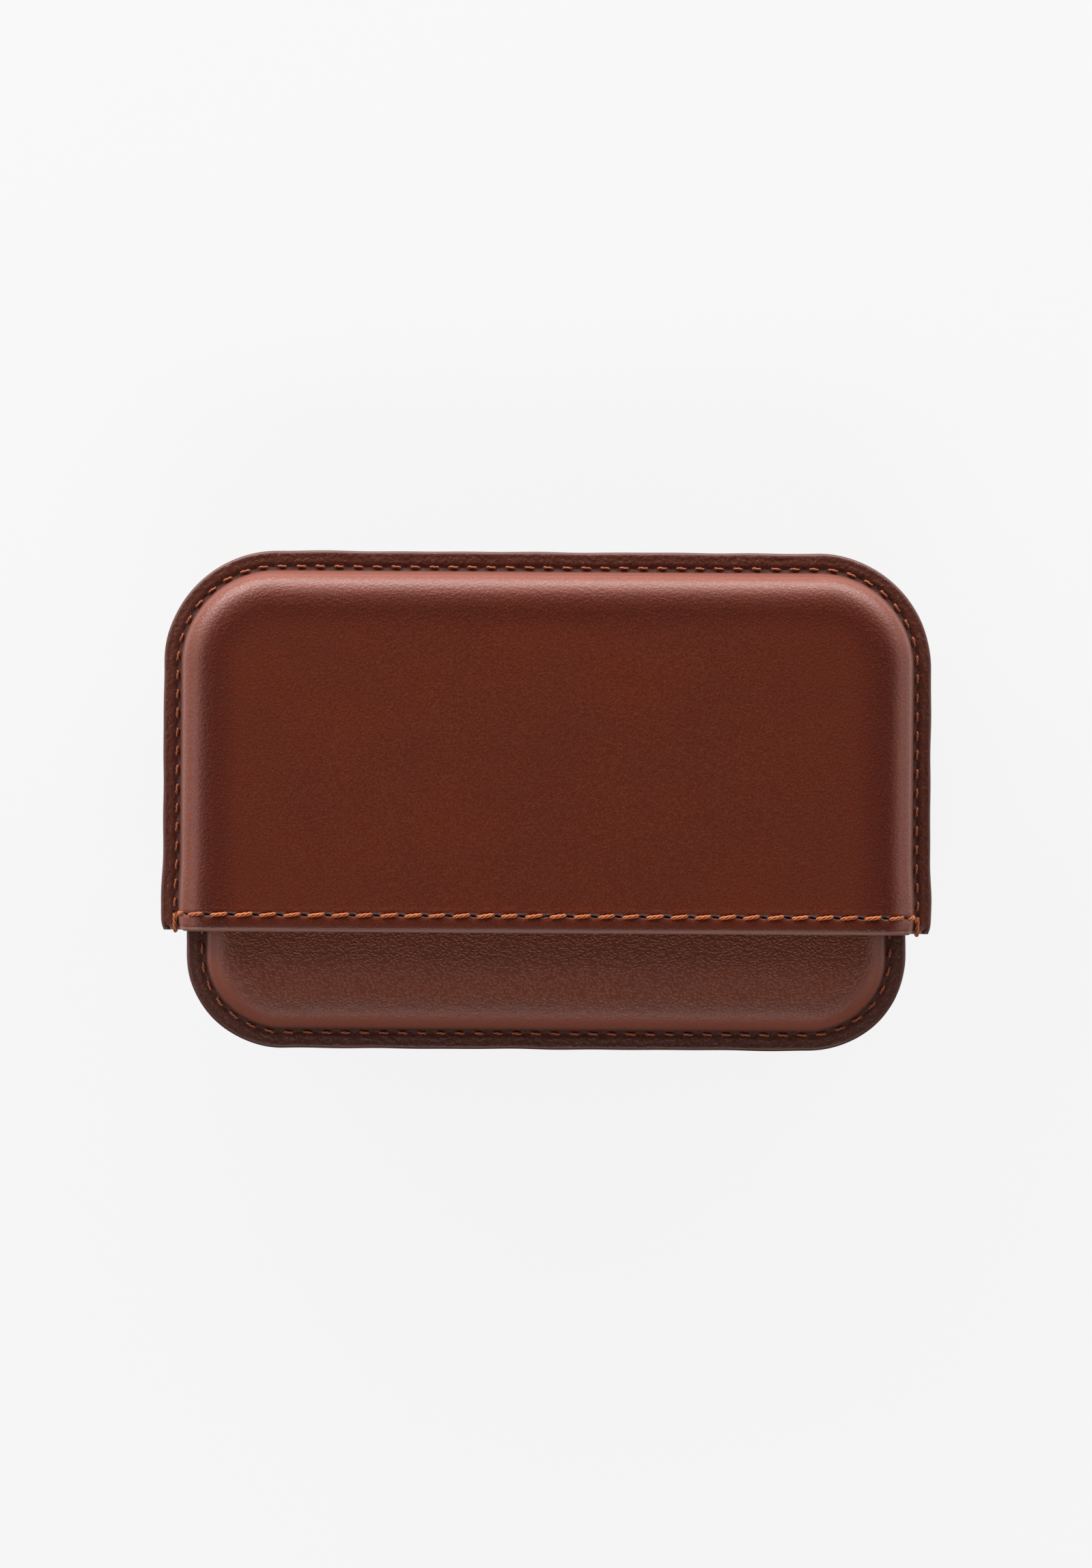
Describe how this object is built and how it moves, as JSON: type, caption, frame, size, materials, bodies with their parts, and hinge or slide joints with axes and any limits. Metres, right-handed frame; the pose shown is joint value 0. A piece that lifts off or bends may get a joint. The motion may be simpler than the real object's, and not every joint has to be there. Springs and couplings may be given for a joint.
{
  "type": "eyeglasses case",
  "caption": "Slip-cover eyeglasses case of moulded brown leather: a pocket for folded eyeglasses and a cover that pulls off along its length, both with stitched flanges and painted edges.",
  "frame": {"origin": "under the middle of the closed case, on the surface that it lies on", "axes": "+X across the width, +Y the way the cover pulls off, +Z out of the front face"},
  "size_m": [0.165, 0.107, 0.034],
  "materials": {
    "cover_leather": "smooth chestnut calf, waxed, finely creased over the shoulders",
    "pocket_leather": "pebbled brown calf with a soft gloss",
    "edge_paint": "dark brown edge paint, rounded and burnished",
    "thread": "waxed orange-tan twisted thread",
    "facing": "thin skived calf",
    "lining": "tan microfibre suede",
    "board": "grey-brown pressed board"
  },
  "bodies": {
    "pocket": {"pocket_front_leather": "pocket_leather", "pocket_front_stiffener": "board", "pocket_front_lining": "lining", "pocket_front_mouth_facing": "facing", "pocket_front_mouth_edge_paint": "edge_paint", "pocket_front_flange_stitches": "thread", "pocket_front_mouth_stitches_outside": "thread", "pocket_front_mouth_stitches_inside": "thread", "pocket_back_leather": "pocket_leather", "pocket_back_stiffener": "board", "pocket_back_lining": "lining", "pocket_back_mouth_facing": "facing", "pocket_back_mouth_edge_paint": "edge_paint", "pocket_back_flange_stitches": "thread", "pocket_back_mouth_stitches_outside": "thread", "pocket_back_mouth_stitches_inside": "thread", "pocket_flange_edge_paint": "edge_paint", "pocket_mouth_corner_tacks": "thread"},
    "cover": {"cover_front_leather": "cover_leather", "cover_front_stiffener": "board", "cover_front_lining": "lining", "cover_front_mouth_facing": "facing", "cover_front_mouth_edge_paint": "edge_paint", "cover_front_flange_stitches": "thread", "cover_front_mouth_stitches_outside": "thread", "cover_front_mouth_stitches_inside": "thread", "cover_back_leather": "cover_leather", "cover_back_stiffener": "board", "cover_back_lining": "lining", "cover_back_mouth_facing": "facing", "cover_back_mouth_edge_paint": "edge_paint", "cover_back_flange_stitches": "thread", "cover_back_mouth_stitches_outside": "thread", "cover_back_mouth_stitches_inside": "thread", "cover_flange_edge_paint": "edge_paint", "cover_mouth_corner_tacks": "thread"}
  },
  "joints": [
    {"name": "cover_slide", "type": "slide", "parent": "pocket", "child": "cover", "axis": [0, 1, 0], "range_m": [0, 0.1]}
  ]
}
